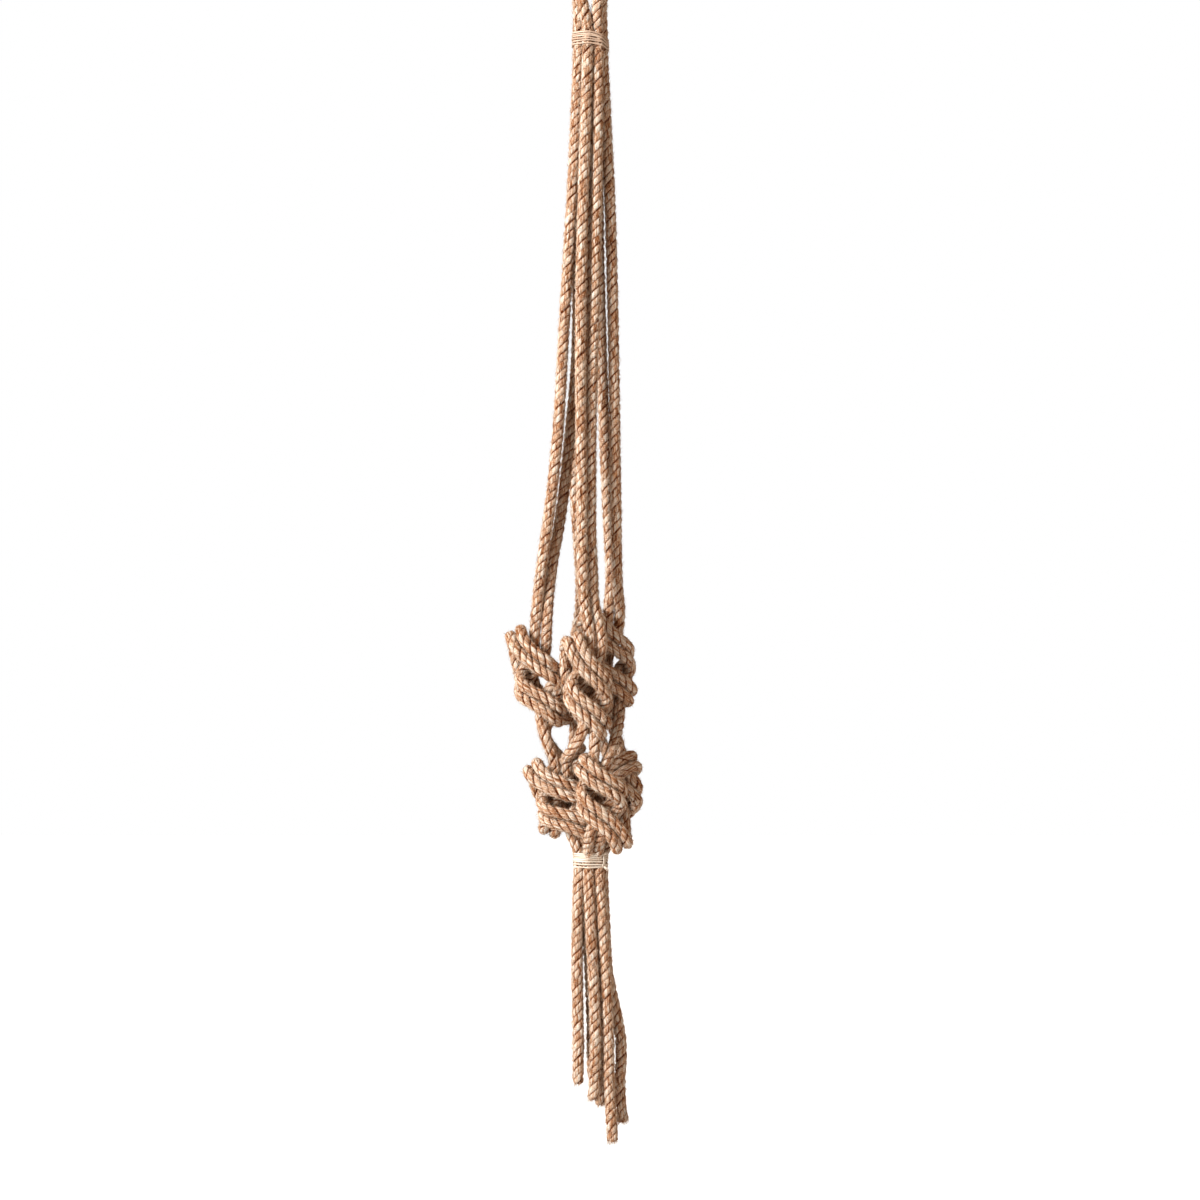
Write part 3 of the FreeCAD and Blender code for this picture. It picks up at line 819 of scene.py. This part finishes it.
def raffia_material(name, pale, dark):
    material, nodes, links, shader = new_material(name, 0.5)
    fibre = attribute(nodes, "fibre", "Vector")
    streak = noise(nodes, links, fibre, (3200, 3200, 60), 3.0, 0.6)
    patch = noise(nodes, links, fibre, (300, 300, 45), 2.0)
    mix = math_node(nodes, links, "MULTIPLY", math_node(nodes, links, "ADD", streak, patch), 0.5)
    between = tuple(0.45 * a + 0.55 * b for a, b in zip(dark, pale))
    tone = ramp(nodes, [(0.38, dark), (0.5, between), (0.6, pale)])
    links.new(mix, tone.inputs["Fac"])
    links.new(tone.outputs["Color"], shader.inputs["Base Color"])
    bumped(nodes, links, shader, streak, 0.8, 0.3 * MM)
    return material


top_raffia = raffia_material("top_raffia", (0.78, 0.60, 0.46), (0.42, 0.24, 0.15))
bottom_raffia = raffia_material("bottom_raffia", (0.86, 0.77, 0.66), (0.55, 0.40, 0.28))
binding_piece("top_binding", 21, TOP_TURNS, TOP_SQUEEZE, 100, top_raffia)
binding_piece("bottom_binding", 22, BOTTOM_TURNS, BOTTOM_SQUEEZE, -42, bottom_raffia)


# ---------------------------------------------------------------- studio
FLOOR_LEVEL = -1.9
FLOOR_REACH = 14              # from the middle to each side
BACKGROUND = 1.0              # how bright the empty studio looks to the camera
AMBIENT = 0.34                # how much it lights the planter
WARM_AMBIENT = (1.0, 0.80, 0.62)


def seen_by_camera(nodes, links, seen, otherwise):
    """A brightness for what the camera sees of the studio, and another for the light that it gives."""
    path = nodes.new("ShaderNodeLightPath")
    node = nodes.new("ShaderNodeMapRange")
    node.inputs["To Min"].default_value = otherwise
    node.inputs["To Max"].default_value = seen
    links.new(path.outputs["Is Camera Ray"], node.inputs["Value"])
    return node.outputs["Result"]


def studio():
    """A floor and a world that look white, of which only the world lights the planter, softly and warmly."""
    mesh = bpy.data.meshes.new("floor")
    signs = ((-1, -1), (1, -1), (1, 1), (-1, 1))
    corners = [(x * FLOOR_REACH, y * FLOOR_REACH, FLOOR_LEVEL) for x, y in signs]
    mesh.from_pydata(corners, [], [(0, 1, 2, 3)])
    material, nodes, links, shader = new_material("pale_floor", 0.9)
    shader.inputs["Base Color"].default_value = (0.9, 0.9, 0.9, 1)
    shader.inputs["Emission Color"].default_value = (1, 1, 1, 1)
    links.new(seen_by_camera(nodes, links, BACKGROUND, 0.0), shader.inputs["Emission Strength"])
    mesh.materials.append(material)
    floor = bpy.data.objects.new("floor", mesh)
    bpy.context.collection.objects.link(floor)
    world = bpy.data.worlds.new("studio")
    world.use_nodes = True
    nodes, links = world.node_tree.nodes, world.node_tree.links
    strength = seen_by_camera(nodes, links, BACKGROUND, AMBIENT)
    links.new(strength, nodes["Background"].inputs["Strength"])
    path = nodes.new("ShaderNodeLightPath")
    colour = mixed(nodes, links, path.outputs["Is Camera Ray"], WARM_AMBIENT, WHITE)
    links.new(colour, nodes["Background"].inputs["Color"])
    bpy.context.scene.world = world


def soft_light(name, place, power, size, colour):
    data = bpy.data.lights.new(name, "AREA")
    data.color = colour
    data.energy = power
    data.size = size
    light = bpy.data.objects.new(name, data)
    light.location = place
    light.rotation_euler = (VIEW_MIDDLE - Vector(place)).to_track_quat("-Z", "Y").to_euler()
    bpy.context.collection.objects.link(light)


studio()
bpy.context.scene.view_settings.view_transform = "Standard"
soft_light("key", place=(-2.3, -1.9, 0.5), power=188, size=0.75, colour=(0.92, 0.97, 1.0))
soft_light("fill", place=(1.6, -2.4, -0.2), power=16, size=1.6, colour=(1.0, 0.9, 0.8))
